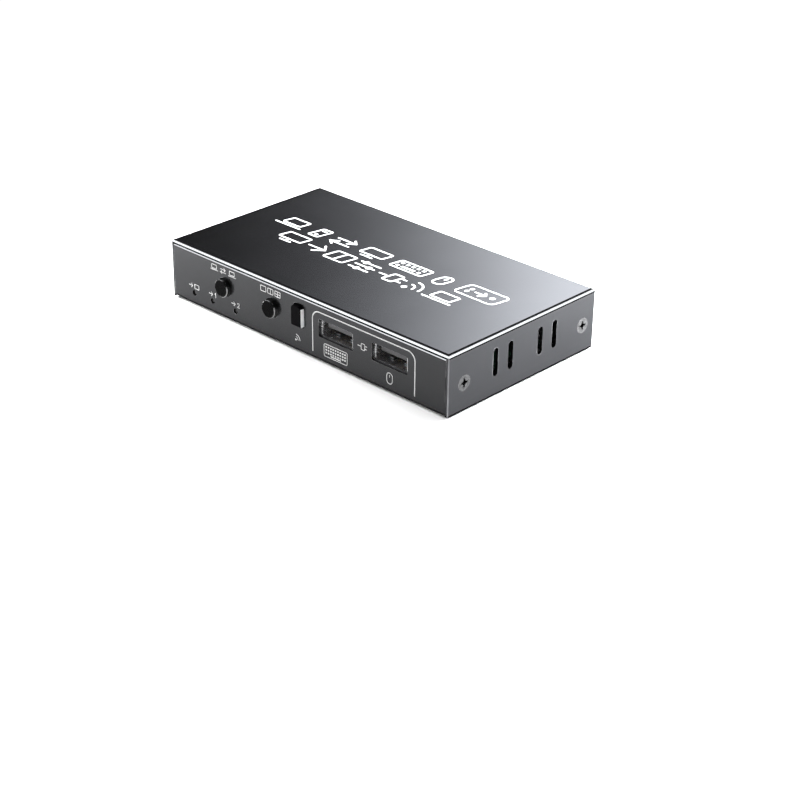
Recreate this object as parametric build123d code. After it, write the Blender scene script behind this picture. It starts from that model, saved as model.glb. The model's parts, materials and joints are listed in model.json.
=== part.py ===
"""Two-computer KVM switch in a folded sheet-metal case.

Millimetres, +Z up, front panel towards -Y. The origin is the centre of the case's footprint,
on the surface that its rubber feet stand on.
"""
import os

from build123d import *

# ---- case: a folded cover over a folded chassis ----
CASE_W = 120.0            # over the cover's two side flanges
CASE_D = 66.0             # over the front and rear panels
CASE_H = 19.4             # without the feet
COVER_SHEET = 1.0
TRAY_SHEET = 0.8
SEAM = 0.15               # gap between the cover and the chassis all round
COVER_TOP_BEVEL = 0.55
COVER_END_BEVEL = 0.3
PANEL_BEVEL = 0.35        # along the top edge of the front and rear panels
FOLD_R = 0.9              # outside radius of the chassis folds
TOUCH = 0.02              # clearance of pieces that are fitted to each other for good

FOOT_H = 0.6
FOOT_R = 4.0
FOOT_BEVEL = 0.2
FOOT_INSET_X = 11.0
FOOT_INSET_Y = 9.0

# ---- pattern on each side flange ----
SIDE_CENTRE_Y = 0.6
SCREW_SPREAD = 53.6       # front screw to rear screw
SCREW_Z = 8.95            # above the case's underside
VENT_W = 2.2
VENT_L = 9.1
VENT_Z = 10.75            # above the case's underside
VENT_PAIR_SPREAD = 20.0
VENT_PITCH = 6.6
TAB_W = 9.0
TAB_H = 13.0              # above the case's underside

# ---- screws ----
THREAD_R = 1.5
THREAD_GAP = 0.03
SINK_HEAD_MORE = COVER_SHEET     # head radius over the hole's, so the cone ends inside the cover
COVER_SCREW_L = 4.6
PAN_HEAD_MORE = 1.25
PAN_HEAD_H = 1.7
PAN_HEAD_ROUND = 0.7
BOARD_SCREW_L = 4.6       # under the head
CROSS_ARM = 2.9           # span of the cross recess
CROSS_SLOT = 0.62
CROSS_DEPTH = 0.75
CROSS_TIP_R = 0.8

# ---- circuit board ----
BOARD_LIFT = 4.9          # floor to the board's underside
BOARD_T = 1.6
BOARD_SIDE_GAP = 3.5      # case side to board edge
BOARD_FRONT_GAP = 2.7
BOARD_REAR_GAP = 1.8
BOARD_HOLE_MORE = 0.2     # over the screw's thread
BOARD_NOTCH_GAP = 0.4     # round the tips of the cover screws
STANDOFF_WALL = 1.0
STANDOFF_STUB_MORE = 0.5  # over the thread
STANDOFF_FLOOR = 0.6      # solid metal left under the thread
STANDOFF_INSET = 4.5      # from the board's side
STANDOFF_Y = (-18.0, 15.0)

# ---- push buttons ----
BUTTON_X = {"switch": -34.8, "mode": -13.1}
BUTTON_Z = 10.6           # above the case's underside
BUTTON_R = 3.0
BUTTON_PROUD = 1.6
BUTTON_EDGE = 0.45
BUTTON_GAP = 0.2          # between the cap and its hole
BUTTON_TRAVEL = 0.4
RIM_WIDER = 0.8
RIM_T = 0.8
RIM_GAP = 0.1             # between the rim and the panel
NECK_WALL = 0.6
NECK_L = 1.7
SOCKET_L = 1.3

# ---- tactile switches behind the buttons ----
TACT_SIZE = 6.2
TACT_DEPTH = 3.2
TACT_FRAME_T = 0.3
TACT_GAP = 0.6            # cap neck to switch frame, at rest
STEM_R = 1.7
STEM_HOLE_GAP = 0.3
COLLAR_MORE = 0.6
COLLAR_T = 0.5
COLLAR_GAP = 0.1
CAVITY_GAP = 0.3
DOME_EDGE_GAP = 0.35
DOME_RISE = 0.32
DOME_T = 0.12
DOME_GAP = 0.1            # stem to dome, pressed

# ---- infrared receiver ----
IR_X = -1.2
IR_Z = 12.2               # above the case's underside
IR_W = 4.3
IR_H = 6.8
IR_PROUD = 1.2
IR_TOP_R = 1.5
IR_EDGE = 0.3
IR_GAP = 0.4
IR_FLANGE = 1.1
IR_FLANGE_T = 0.8
IR_BODY_W = 6.0
IR_BODY_H = 6.8
IR_BODY_T = 3.0
IR_EYE_R = 2.2
IR_EYE_GAP = 0.5
IR_LEAD_W = 0.5
IR_LEAD_PITCH = 1.9

# ---- status lights, under the board ----
LED_X = (-49.4, -40.7, -29.8)
LED_Z = 4.0               # above the case's underside
LED_R = 0.8
LED_HOLE_GAP = 0.15
LED_SUNK = 0.35
LED_BODY_W = 2.6
LED_BODY_L = 3.2
LED_BODY_H = 3.0

# ---- USB type A sockets ----
USB_FRONT_X = {"keyboard_port": 14.8, "mouse_port": 37.0}
USB_REAR_X = {"host_port_1": -4.5, "host_port_2": -43.5}
USB_Z = 3.6               # centre, above the board
USB_IN_W = 12.5
USB_IN_H = 5.1
USB_SHELL_T = 0.3
USB_DEPTH = 14.0
USB_LIP = 0.6
USB_SHELL_R = 0.5
USB_CUT_SIDE = 1.0        # panel opening over the socket's mouth, each side
USB_CUT_TOP = 0.35
USB_CUT_R = 0.5
USB_PANEL_GAP = 0.1
TONGUE_SIDE_GAP = 0.7
TONGUE_T = 1.84
TONGUE_TOP_GAP = 0.75
TONGUE_SET_BACK = 1.2
USB_BLOCK_Y = 9.8         # mouth to the rear block
CONTACT_T = 0.2
CONTACT_W = 1.0
CONTACT_X = (-3.5, -1.0, 1.0, 3.5)
TAIL_T = 0.4
FINGER_X = 3.2
FINGER_W = 1.9
FINGER_T = 0.25
FINGER_DIP = 0.42
FINGER_FROM = 3.2
FINGER_BEND = 4.6
FINGER_ROOT = 9.0
WINDOW_GAP = 0.35

# ---- 19-way video sockets ----
VIDEO_X = {"video_out": 33.0, "video_in_1": 12.5, "video_in_2": -25.0}
VIDEO_Z = 3.2             # centre, above the board
VIDEO_W = 15.0
VIDEO_H = 5.6
VIDEO_SIDE_H = 3.2        # straight part of the side, below the top
VIDEO_FOOT_IN = 2.1       # how far each side slants in below
VIDEO_SHELL_T = 0.35
VIDEO_R = 0.5
VIDEO_DEPTH = 11.8
VIDEO_PROUD = 0.8
VIDEO_GAP = 0.25
VIDEO_BLOCK_Y = 8.6
VIDEO_TONGUE_SIDE_GAP = 1.65
VIDEO_TONGUE_T = 1.1
VIDEO_TONGUE_Z = 0.45
VIDEO_TONGUE_BACK = 1.4
VIDEO_PIN_W = 0.42
VIDEO_PIN_T = 0.12
VIDEO_PIN_PITCH = 1.0
VIDEO_PINS_TOP = 10
VIDEO_PINS_UNDER = 9
VIDEO_LEG_Y = (2.6, 9.4)
LEG_L = 1.4

# ---- DC power jack ----
JACK_X = 48.6
JACK_Z = 4.9              # centre, above the board
JACK_W = 9.0
JACK_L = 12.0
JACK_NOSE_R = 3.9
JACK_PROUD = 0.4
JACK_HOLE_GAP = 0.3
JACK_BORE_R = 3.15
JACK_BORE_L = 10.0
JACK_PIN_R = 1.0
JACK_PIN_BACK = 1.2
JACK_PIN_ROOT = 1.0
JACK_SLOT_W = 2.8
JACK_SLOT_T = 0.9
JACK_SPRING_W = 2.4
JACK_SPRING_T = 0.3

# ---- parts on the board ----
MAIN_CHIP = (17.0, 17.0, 1.5)
MAIN_CHIP_AT = (-2.0, 2.0)
PAD = (15.0, 15.0, 0.5)
SINK = (22.0, 22.0, 1.5)
FIN_H = 5.0
FIN_T = 0.9
FIN_COUNT = 8
VIDEO_CHIP = (10.0, 10.0, 1.1)
VIDEO_CHIP_AT = ((25.0, 7.0), (-27.0, 7.0))
HUB_CHIP = (7.0, 7.0, 1.0)
HUB_CHIP_AT = (25.0, -10.0)
MEMORY_CHIP = (12.0, 9.0, 1.1)
MEMORY_CHIP_AT = (-27.0, -9.0)
CRYSTAL = (3.2, 2.5, 0.8)
CRYSTAL_AT = ((17.5, -14.0), (-17.0, -14.0))
COIL = (5.0, 5.0, 2.4)
COIL_EDGE = 0.8
COIL_AT = ((38.0, 12.0), (38.0, 4.0), (38.0, -4.0))
REGULATOR = (3.0, 6.5, 1.7)
REGULATOR_AT = ((32.5, -8.0), (-38.0, 10.0), (-38.0, 0.0))
CAN_R = 3.15
CAN_H = 7.4
CAN_EDGE = 0.5
CAN_AT = ((49.0, 8.0), (49.0, 0.5), (49.0, -7.0))
CHIP_CAP = (0.8, 1.6, 0.8)
CHIP_CAP_COUNT = 7
CHIP_CAP_PITCH = 2.6
CHIP_CAP_ROW = 14.0       # from the main chip's centre

# ---- levels and planes that the sizes above fix ----
BASE_Z = FOOT_H
TOP_Z = BASE_Z + CASE_H
FLOOR_Z = BASE_Z + TRAY_SHEET
PANEL_TOP_Z = TOP_Z - COVER_SHEET - SEAM
BOARD_UNDER_Z = FLOOR_Z + BOARD_LIFT
BOARD_Z = BOARD_UNDER_Z + BOARD_T
FRONT_Y = -CASE_D / 2
REAR_Y = CASE_D / 2
FRONT_INSIDE_Y = FRONT_Y + TRAY_SHEET
REAR_INSIDE_Y = REAR_Y - TRAY_SHEET
TRAY_W = CASE_W - 2 * (COVER_SHEET + SEAM)
SCREW_R = THREAD_R - THREAD_GAP
SINK_HEAD_R = SCREW_R + SINK_HEAD_MORE
PAN_HEAD_R = THREAD_R + PAN_HEAD_MORE
BOARD_HALF_W = CASE_W / 2 - BOARD_SIDE_GAP
BOARD_HOLE_R = THREAD_R + BOARD_HOLE_MORE
STANDOFF_STUB_R = THREAD_R + STANDOFF_STUB_MORE
STANDOFF_X = BOARD_HALF_W - STANDOFF_INSET
NECK_R = STEM_R + NECK_WALL
COLLAR_R = STEM_R + COLLAR_MORE
CAVITY_R = COLLAR_R + CAVITY_GAP
DOME_R = CAVITY_R - DOME_EDGE_GAP
USB_CUT_W = USB_IN_W + 2 * USB_CUT_SIDE
USB_CUT_H = USB_IN_H + 2 * USB_CUT_TOP
TONGUE_W = USB_IN_W - 2 * TONGUE_SIDE_GAP
VIDEO_TONGUE_W = VIDEO_W - 2 * (VIDEO_SHELL_T + VIDEO_TONGUE_SIDE_GAP)
SCREW_YS = [SIDE_CENTRE_Y + side * SCREW_SPREAD / 2 for side in (-1, 1)]
USB_CENTRE_Z = BOARD_Z + USB_Z
VIDEO_CENTRE_Z = BOARD_Z + VIDEO_Z
JACK_CENTRE_Z = BOARD_Z + JACK_Z
BUTTON_CENTRE_Z = BASE_Z + BUTTON_Z
USB_FRONT_FACE_Y = FRONT_INSIDE_Y + USB_PANEL_GAP
USB_REAR_FACE_Y = REAR_INSIDE_Y - USB_PANEL_GAP


def block(x0, x1, y0, y1, z0, z1):
    """A box between two corners."""
    return Pos((x0 + x1) / 2, (y0 + y1) / 2, (z0 + z1) / 2) * Box(x1 - x0, y1 - y0, z1 - z0)


def block_on(at, size, z0):
    """A box of the given size that stands on the level z0."""
    return Pos(at[0], at[1], z0 + size[2] / 2) * Box(*size)


def rod_y(radius, y0, y1, x=0.0, z=0.0):
    """A round bar along Y."""
    return Pos(x, (y0 + y1) / 2, z) * Rot(90, 0, 0) * Cylinder(radius, y1 - y0)


def rod_z(radius, z0, z1, x=0.0, y=0.0):
    """A round bar along Z."""
    return Pos(x, y, (z0 + z1) / 2) * Cylinder(radius, z1 - z0)


def prism_y(sketch, y0, y1):
    """A profile drawn as (x, z), carried from y0 to y1."""
    return Pos(0, y1, 0) * extrude(Plane.XZ * sketch, y1 - y0)


def save(name, *shapes):
    """Writes one node: a single solid, or a group of separate ones."""
    solids = [solid for shape in shapes for solid in shape.solids()]
    body = solids[0] if len(solids) == 1 else Compound(children=solids)
    export_step(body, f"parts/{name}.step")


def cross_recess():
    """The cutter of a cross recess, open upwards at z = 0."""
    arms = [Rot(0, 0, turn) * Box(CROSS_ARM, CROSS_SLOT, 2 * CROSS_DEPTH) for turn in (0, 90)]
    tip = Pos(0, 0, -CROSS_DEPTH / 2) * Cone(CROSS_TIP_R / 2, CROSS_TIP_R, CROSS_DEPTH)
    return arms[0] + arms[1] + tip


# ---------------------------------------------------------------- case

def side_slots():
    """The rounded vent slots of both side flanges, cut right across the case."""
    slots = []
    for pair in (-1, 1):
        for one in (-1, 1):
            y = SIDE_CENTRE_Y + pair * VENT_PAIR_SPREAD / 2 + one * VENT_PITCH / 2
            outline = Plane.YZ * SlotOverall(VENT_L, VENT_W, rotation=90)
            slots.append(Pos(-CASE_W, y, BASE_Z + VENT_Z) * extrude(outline, 2 * CASE_W))
    return slots


def sink_cutter(side, y):
    """The countersink and its hole in one side flange."""
    face_r = SINK_HEAD_R + THREAD_GAP
    inner_r = face_r - COVER_SHEET
    cone = Pos(0, 0, -COVER_SHEET / 2) * Cone(inner_r, face_r, COVER_SHEET)
    return Pos(side * CASE_W / 2, y, BASE_Z + SCREW_Z) * Rot(0, side * 90, 0) * cone


def cover():
    """Top and two side flanges, folded from one sheet, with bright bevelled edges."""
    shell = block(-CASE_W / 2, CASE_W / 2, FRONT_Y, REAR_Y, BASE_Z, TOP_Z)
    shell = chamfer(shell.faces().sort_by(Axis.Z)[-1].edges(), COVER_TOP_BEVEL)
    shell = chamfer(shell.edges().filter_by(Axis.Z), COVER_END_BEVEL)
    half = CASE_W / 2 - COVER_SHEET
    shell -= block(-half, half, 2 * FRONT_Y, 2 * REAR_Y, -CASE_H, TOP_Z - COVER_SHEET)
    for slot in side_slots():
        shell -= slot
    for side in (-1, 1):
        for y in SCREW_YS:
            shell -= sink_cutter(side, y)
    return shell


def tray_fold():
    """Floor, front panel and rear panel as one folded strip, before its openings are cut."""
    outer = Pos(0, (BASE_Z + PANEL_TOP_Z) / 2) * Rectangle(CASE_D, PANEL_TOP_Z - BASE_Z)
    outer = fillet(outer.vertices().group_by(Axis.Y)[0], FOLD_R)
    inner = Pos(0, FLOOR_Z + CASE_H / 2) * Rectangle(CASE_D - 2 * TRAY_SHEET, CASE_H)
    section = Plane.YZ * (outer - inner)
    strip = Pos(-TRAY_W / 2, 0, 0) * extrude(section, TRAY_W)
    rims = strip.faces().sort_by(Axis.Z)[-2:].edges().filter_by(Axis.X)
    outer_rims = [rims.sort_by(Axis.Y)[0], rims.sort_by(Axis.Y)[-1]]
    return chamfer(outer_rims, PANEL_BEVEL)


def screw_tab(side, y):
    """A tab folded up inside a side flange, tapped for a cover screw."""
    x = side * TRAY_W / 2
    inner_x = x - side * TRAY_SHEET
    tab = block(min(x, inner_x), max(x, inner_x), y - TAB_W / 2, y + TAB_W / 2, BASE_Z, BASE_Z + TAB_H)
    hole = Pos(x, y, BASE_Z + SCREW_Z) * Rot(0, 90, 0) * Cylinder(THREAD_R, 4 * TRAY_SHEET)
    return tab - hole


def video_outline(grow):
    """The outline of a video socket, wide above and narrow below."""
    half_w = VIDEO_W / 2
    half_h = VIDEO_H / 2
    waist = half_h - VIDEO_SIDE_H
    foot = half_w - VIDEO_FOOT_IN
    corners = [(-half_w, half_h), (half_w, half_h), (half_w, waist)]
    corners += [(foot, -half_h), (-foot, -half_h), (-half_w, waist)]
    face = fillet(make_face(Polyline(*corners, close=True)).vertices(), VIDEO_R)
    return offset(face, amount=grow) if grow else face


def panel_slot(width, height, radius, x, z, y0, y1):
    """The cutter of a rectangular panel opening with rounded corners."""
    return prism_y(Pos(x, z) * RectangleRounded(width, height, radius), y0, y1)


def ir_outline(grow):
    """The outline of the receiver window: arched above, square below."""
    width = IR_W + 2 * grow
    height = IR_H + 2 * grow
    face = Rectangle(width, height)
    face = fillet(face.vertices().group_by(Axis.Y)[-1], IR_TOP_R + grow)
    return Pos(IR_X, BASE_Z + IR_Z) * face


def front_openings():
    """Everything that is cut through the front panel."""
    y0 = FRONT_Y - 1
    y1 = FRONT_INSIDE_Y + 1
    cuts = [prism_y(ir_outline(IR_GAP), y0, y1)]
    for x in USB_FRONT_X.values():
        cuts.append(panel_slot(USB_CUT_W, USB_CUT_H, USB_CUT_R, x, USB_CENTRE_Z, y0, y1))
    for x in BUTTON_X.values():
        cuts.append(rod_y(BUTTON_R + BUTTON_GAP, y0, y1, x, BUTTON_CENTRE_Z))
    for x in LED_X:
        cuts.append(rod_y(LED_R + LED_HOLE_GAP, y0, y1, x, BASE_Z + LED_Z))
    return cuts


def rear_openings():
    """Everything that is cut through the rear panel."""
    y0 = REAR_INSIDE_Y - 1
    y1 = REAR_Y + 1
    cuts = [rod_y(JACK_NOSE_R + JACK_HOLE_GAP, y0, y1, JACK_X, JACK_CENTRE_Z)]
    for x in USB_REAR_X.values():
        cuts.append(panel_slot(USB_CUT_W, USB_CUT_H, USB_CUT_R, x, USB_CENTRE_Z, y0, y1))
    for x in VIDEO_X.values():
        cuts.append(prism_y(Pos(x, VIDEO_CENTRE_Z) * video_outline(VIDEO_GAP), y0, y1))
    return cuts


def standoff_spots():
    return [(side * STANDOFF_X, y) for side in (-1, 1) for y in STANDOFF_Y]


def chassis():
    """The tray: floor, front and rear panels and the four screw tabs."""
    tray = tray_fold()
    for side in (-1, 1):
        for y in SCREW_YS:
            tray += screw_tab(side, y)
    for cut in front_openings() + rear_openings():
        tray -= cut
    for x, y in standoff_spots():
        tray -= rod_z(STANDOFF_STUB_R + TOUCH, 0, CASE_H / 2, x, y)
    return tray


def cover_screw(side, y):
    """A countersunk cross-head screw, flush with the side flange."""
    head_h = SINK_HEAD_R - SCREW_R
    head = Pos(0, 0, -head_h / 2) * Cone(SCREW_R, SINK_HEAD_R, head_h)
    shank = rod_z(SCREW_R, -COVER_SCREW_L, -head_h)
    screw = head + shank - cross_recess()
    return Pos(side * CASE_W / 2, y, BASE_Z + SCREW_Z) * Rot(0, side * 90, 0) * screw


def foot(x, y):
    """A stick-on rubber foot."""
    pad = rod_z(FOOT_R, 0, FOOT_H, x, y)
    return chamfer(pad.edges().group_by(Axis.Z)[0], FOOT_BEVEL)


def feet():
    x = CASE_W / 2 - FOOT_INSET_X
    y = CASE_D / 2 - FOOT_INSET_Y
    return [foot(sx * x, sy * y) for sx in (-1, 1) for sy in (-1, 1)]


# ---------------------------------------------------------------- board and its fixings

def screw_tip_notch(side, y):
    """The cutter of a notch in the board's side edge, clear of a cover screw's tip."""
    half = THREAD_R + BOARD_NOTCH_GAP
    tip = CASE_W / 2 - COVER_SCREW_L - BOARD_NOTCH_GAP
    edges = sorted((side * tip, side * CASE_W))
    return block(edges[0], edges[1], y - half, y + half, BOARD_UNDER_Z - 1, BOARD_Z + 1)


def main_board():
    """The bare circuit board, with four fixing holes and four notches in its sides."""
    front = FRONT_Y + BOARD_FRONT_GAP
    rear = REAR_Y - BOARD_REAR_GAP
    board = block(-BOARD_HALF_W, BOARD_HALF_W, front, rear, BOARD_UNDER_Z, BOARD_Z)
    for x, y in standoff_spots():
        board -= rod_z(BOARD_HOLE_R, BOARD_UNDER_Z - 1, BOARD_Z + 1, x, y)
    for side in (-1, 1):
        for y in SCREW_YS:
            board -= screw_tip_notch(side, y)
    return board


def standoff(x, y):
    """A hexagonal pillar, swaged into the floor and threaded from above."""
    hexagon = RegularPolygon(THREAD_R + STANDOFF_WALL, 6, major_radius=False)
    pillar = Pos(x, y, FLOOR_Z) * extrude(hexagon, BOARD_LIFT)
    stub = rod_z(STANDOFF_STUB_R, BASE_Z, FLOOR_Z, x, y)
    return pillar + stub - rod_z(THREAD_R, FLOOR_Z + STANDOFF_FLOOR, BOARD_Z, x, y)


def board_screw(x, y):
    """A pan-head cross screw that holds the board down."""
    head = fillet(rod_z(PAN_HEAD_R, 0, PAN_HEAD_H).edges().group_by(Axis.Z)[-1], PAN_HEAD_ROUND)
    screw = head + rod_z(SCREW_R, -BOARD_SCREW_L, 0)
    return Pos(x, y, BOARD_Z) * (screw - Pos(0, 0, PAN_HEAD_H) * cross_recess())


# ---------------------------------------------------------------- push buttons

RIM_Y = FRONT_INSIDE_Y + RIM_GAP
NECK_Y = RIM_Y + RIM_T
NECK_END_Y = NECK_Y + NECK_L
TACT_Y = NECK_END_Y + TACT_GAP
TACT_BASE_Y = TACT_Y + TACT_FRAME_T
COLLAR_Y = TACT_BASE_Y + COLLAR_GAP
CAVITY_END_Y = COLLAR_Y + COLLAR_T + BUTTON_TRAVEL + DOME_GAP + DOME_RISE


def button_cap(x):
    """A round cap with a retaining rim behind the panel and a socket for the switch stem."""
    z = BUTTON_CENTRE_Z
    face = rod_y(BUTTON_R, FRONT_Y - BUTTON_PROUD, RIM_Y, x, z)
    face = fillet(face.edges().group_by(Axis.Y)[0], BUTTON_EDGE)
    rim = rod_y(BUTTON_R + RIM_WIDER, RIM_Y, NECK_Y, x, z)
    neck = rod_y(NECK_R, NECK_Y, NECK_END_Y, x, z)
    return face + rim + neck - rod_y(STEM_R + TOUCH, NECK_END_Y - SOCKET_L, NECK_END_Y, x, z)


def button_stem(x):
    """The switch's own plunger, pushed into the cap and held by its collar."""
    z = BUTTON_CENTRE_Z
    shaft = rod_y(STEM_R, NECK_END_Y - SOCKET_L + TOUCH, COLLAR_Y, x, z)
    return shaft + rod_y(COLLAR_R, COLLAR_Y, COLLAR_Y + COLLAR_T, x, z)


def tact_base(x):
    """The moulded body of a tactile switch, standing on the board."""
    z = BUTTON_CENTRE_Z
    half = TACT_SIZE / 2
    body = block(x - half, x + half, TACT_BASE_Y, TACT_BASE_Y + TACT_DEPTH, BOARD_Z, z + half)
    return body - rod_y(CAVITY_R, TACT_BASE_Y, CAVITY_END_Y, x, z)


def tact_frame(x):
    """The steel cover of a tactile switch, with side legs down to the board."""
    z = BUTTON_CENTRE_Z
    half = TACT_SIZE / 2
    wide = half + TACT_FRAME_T
    frame = block(x - wide, x + wide, TACT_Y, TACT_BASE_Y, BOARD_Z, z + half)
    for side in (-1, 1):
        edges = sorted((x + side * half, x + side * wide))
        leg_end = TACT_BASE_Y + TACT_DEPTH / 2
        frame += block(edges[0], edges[1], TACT_Y, leg_end, BOARD_Z, z + half)
    return frame - rod_y(STEM_R + STEM_HOLE_GAP, TACT_Y - 1, TACT_BASE_Y + 1, x, z)


def tact_dome(x):
    """The snap disc on the floor of the switch's cavity."""
    sphere_r = (DOME_R**2 + DOME_RISE**2) / (2 * DOME_RISE)
    centre = Pos(x, CAVITY_END_Y - DOME_RISE + sphere_r, BUTTON_CENTRE_Z)
    shell = centre * (Sphere(sphere_r) - Sphere(sphere_r - DOME_T))
    return shell & rod_y(CAVITY_R, CAVITY_END_Y - 2 * DOME_RISE, CAVITY_END_Y, x, BUTTON_CENTRE_Z)


# ---------------------------------------------------------------- infrared receiver and lights

IR_FLANGE_END_Y = FRONT_INSIDE_Y + IR_FLANGE_T
IR_EYE_Y = IR_FLANGE_END_Y + IR_EYE_GAP + IR_EYE_R


def ir_window():
    """The dark window: a raised lens with a flange bonded behind the panel."""
    lens = prism_y(ir_outline(0), FRONT_Y - IR_PROUD, FRONT_INSIDE_Y)
    lens = fillet(lens.faces().sort_by(Axis.Y)[0].edges(), IR_EDGE)
    return lens + prism_y(ir_outline(IR_FLANGE), FRONT_INSIDE_Y, IR_FLANGE_END_Y)


def ir_receiver():
    """The moulded receiver with its round eye."""
    z = BASE_Z + IR_Z
    half = IR_BODY_W / 2
    low = z - IR_BODY_H / 2
    body = block(IR_X - half, IR_X + half, IR_EYE_Y, IR_EYE_Y + IR_BODY_T, low, low + IR_BODY_H)
    return body + Pos(IR_X, IR_EYE_Y, z) * Sphere(IR_EYE_R)


def ir_leads():
    """Three flat leads from the receiver down to the board."""
    top = BASE_Z + IR_Z - IR_BODY_H / 2
    y = IR_EYE_Y + IR_BODY_T / 2
    half = IR_LEAD_W / 2
    xs = [IR_X + step * IR_LEAD_PITCH for step in (-1, 0, 1)]
    return [block(x - half, x + half, y - half, y + half, BOARD_Z, top) for x in xs]


LED_BODY_Y = FRONT_INSIDE_Y + LED_R


def led_lens(x):
    """A round light lens that ends just inside its panel hole."""
    lens = rod_y(LED_R, FRONT_Y + LED_SUNK, LED_BODY_Y, x, BASE_Z + LED_Z)
    return fillet(lens.edges().group_by(Axis.Y)[0], LED_R / 2)


def led_body(x):
    """A right-angle light housing that hangs under the board."""
    half = LED_BODY_W / 2
    low = BOARD_UNDER_Z - LED_BODY_H
    return block(x - half, x + half, LED_BODY_Y, LED_BODY_Y + LED_BODY_L, low, BOARD_UNDER_Z)


# ---------------------------------------------------------------- USB sockets
# Each socket is drawn with its mouth at y = 0, its depth along +Y and its centre at z = 0.

def spring_finger():
    """A contact spring of the shell's top wall, bent down into the socket."""
    wall = USB_IN_H / 2
    dip = wall - FINGER_DIP
    upper = [(FINGER_ROOT + FINGER_T, wall + FINGER_T), (FINGER_ROOT, wall + FINGER_T)]
    upper += [(FINGER_BEND, dip + FINGER_T), (FINGER_FROM, wall - FINGER_T)]
    lower = [(FINGER_FROM, wall - 2 * FINGER_T), (FINGER_BEND, dip), (FINGER_ROOT + FINGER_T, wall)]
    face = make_face(Polyline(*upper, *lower, close=True))
    return Pos(FINGER_X - FINGER_W / 2, 0, 0) * extrude(Plane.YZ * face, FINGER_W)


def finger_window():
    """The window in the shell wall around a spring."""
    half = FINGER_W / 2 + WINDOW_GAP
    wall = USB_IN_H / 2
    return block(FINGER_X - half, FINGER_X + half, FINGER_FROM - WINDOW_GAP, FINGER_ROOT,
                 wall - USB_SHELL_T, wall + 2 * USB_SHELL_T)


def usb_shell():
    """The bright steel shell: tube, front lip, four contact springs and board legs."""
    outer_w = USB_IN_W + 2 * USB_SHELL_T
    outer_h = USB_IN_H + 2 * USB_SHELL_T
    shell = prism_y(RectangleRounded(outer_w, outer_h, USB_SHELL_R), 0, USB_DEPTH)
    lip = RectangleRounded(outer_w + 2 * USB_LIP, outer_h + 2 * USB_LIP, USB_SHELL_R + USB_LIP)
    shell += prism_y(lip, 0, USB_SHELL_T)
    shell -= prism_y(RectangleRounded(USB_IN_W, USB_IN_H, USB_SHELL_R - USB_SHELL_T), -1, USB_DEPTH + 1)
    for flip in (0, 180):
        for mirror_x in (False, True):
            window = finger_window()
            finger = spring_finger()
            if mirror_x:
                window = mirror(window, Plane.YZ)
                finger = mirror(finger, Plane.YZ)
            shell -= Rot(0, flip, 0) * window
            shell += Rot(0, flip, 0) * finger
    for side in (-1, 1):
        edges = sorted((side * USB_IN_W / 2, side * outer_w / 2))
        for y in (USB_BLOCK_Y - 4 * LEG_L, USB_BLOCK_Y + LEG_L):
            shell += block(edges[0], edges[1], y, y + LEG_L, -USB_Z, 0)
    return shell


TONGUE_TOP = USB_IN_H / 2 - TONGUE_TOP_GAP
TONGUE_UNDER = TONGUE_TOP - TONGUE_T


def usb_contact(x):
    """A contact: a strip under the tongue and a tail down to the board behind."""
    half = CONTACT_W / 2
    tail = USB_DEPTH + TAIL_T
    strip = block(x - half, x + half, 2 * TONGUE_SET_BACK, tail, TONGUE_UNDER - CONTACT_T, TONGUE_UNDER)
    return strip + block(x - half, x + half, USB_DEPTH, tail, -USB_Z, TONGUE_UNDER)


def usb_insert():
    """The moulded tongue and the block that closes the socket's rear."""
    half = TONGUE_W / 2
    tongue = block(-half, half, TONGUE_SET_BACK, USB_BLOCK_Y, TONGUE_UNDER, TONGUE_TOP)
    tongue = chamfer(tongue.faces().sort_by(Axis.Y)[0].edges(), TONGUE_TOP_GAP / 2)
    plug = RectangleRounded(USB_IN_W - 2 * TOUCH, USB_IN_H - 2 * TOUCH, USB_SHELL_R - USB_SHELL_T)
    insert = tongue + prism_y(plug, USB_BLOCK_Y, USB_DEPTH)
    for x in CONTACT_X:
        slot = CONTACT_W / 2 + TOUCH
        insert -= block(x - slot, x + slot, USB_BLOCK_Y - 1, USB_DEPTH + 1,
                        TONGUE_UNDER - CONTACT_T - TOUCH, TONGUE_UNDER)
    return insert


def save_usb(name, place):
    save(f"{name}_shell", place * usb_shell())
    save(f"{name}_insert", place * usb_insert())
    save(f"{name}_contacts", *[place * usb_contact(x) for x in CONTACT_X])


# ---------------------------------------------------------------- video sockets

def video_shell():
    """The bright shell of a video socket, with four legs to the board."""
    shell = prism_y(video_outline(0), 0, VIDEO_DEPTH)
    shell -= prism_y(video_outline(-VIDEO_SHELL_T), -1, VIDEO_DEPTH + 1)
    for side in (-1, 1):
        edges = sorted((side * (VIDEO_W / 2 - VIDEO_SHELL_T), side * VIDEO_W / 2))
        for y in VIDEO_LEG_Y:
            shell += block(edges[0], edges[1], y, y + LEG_L, -VIDEO_Z, VIDEO_H / 2 - VIDEO_SIDE_H + VIDEO_R)
    return shell


def video_insert():
    """The moulded tongue and rear block of a video socket."""
    half = VIDEO_TONGUE_W / 2
    half_t = VIDEO_TONGUE_T / 2
    tongue = block(-half, half, VIDEO_TONGUE_BACK, VIDEO_BLOCK_Y,
                   VIDEO_TONGUE_Z - half_t, VIDEO_TONGUE_Z + half_t)
    tongue = chamfer(tongue.faces().sort_by(Axis.Y)[0].edges().filter_by(Axis.X), half_t / 2)
    return tongue + prism_y(video_outline(-VIDEO_SHELL_T - TOUCH), VIDEO_BLOCK_Y, VIDEO_DEPTH)


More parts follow.
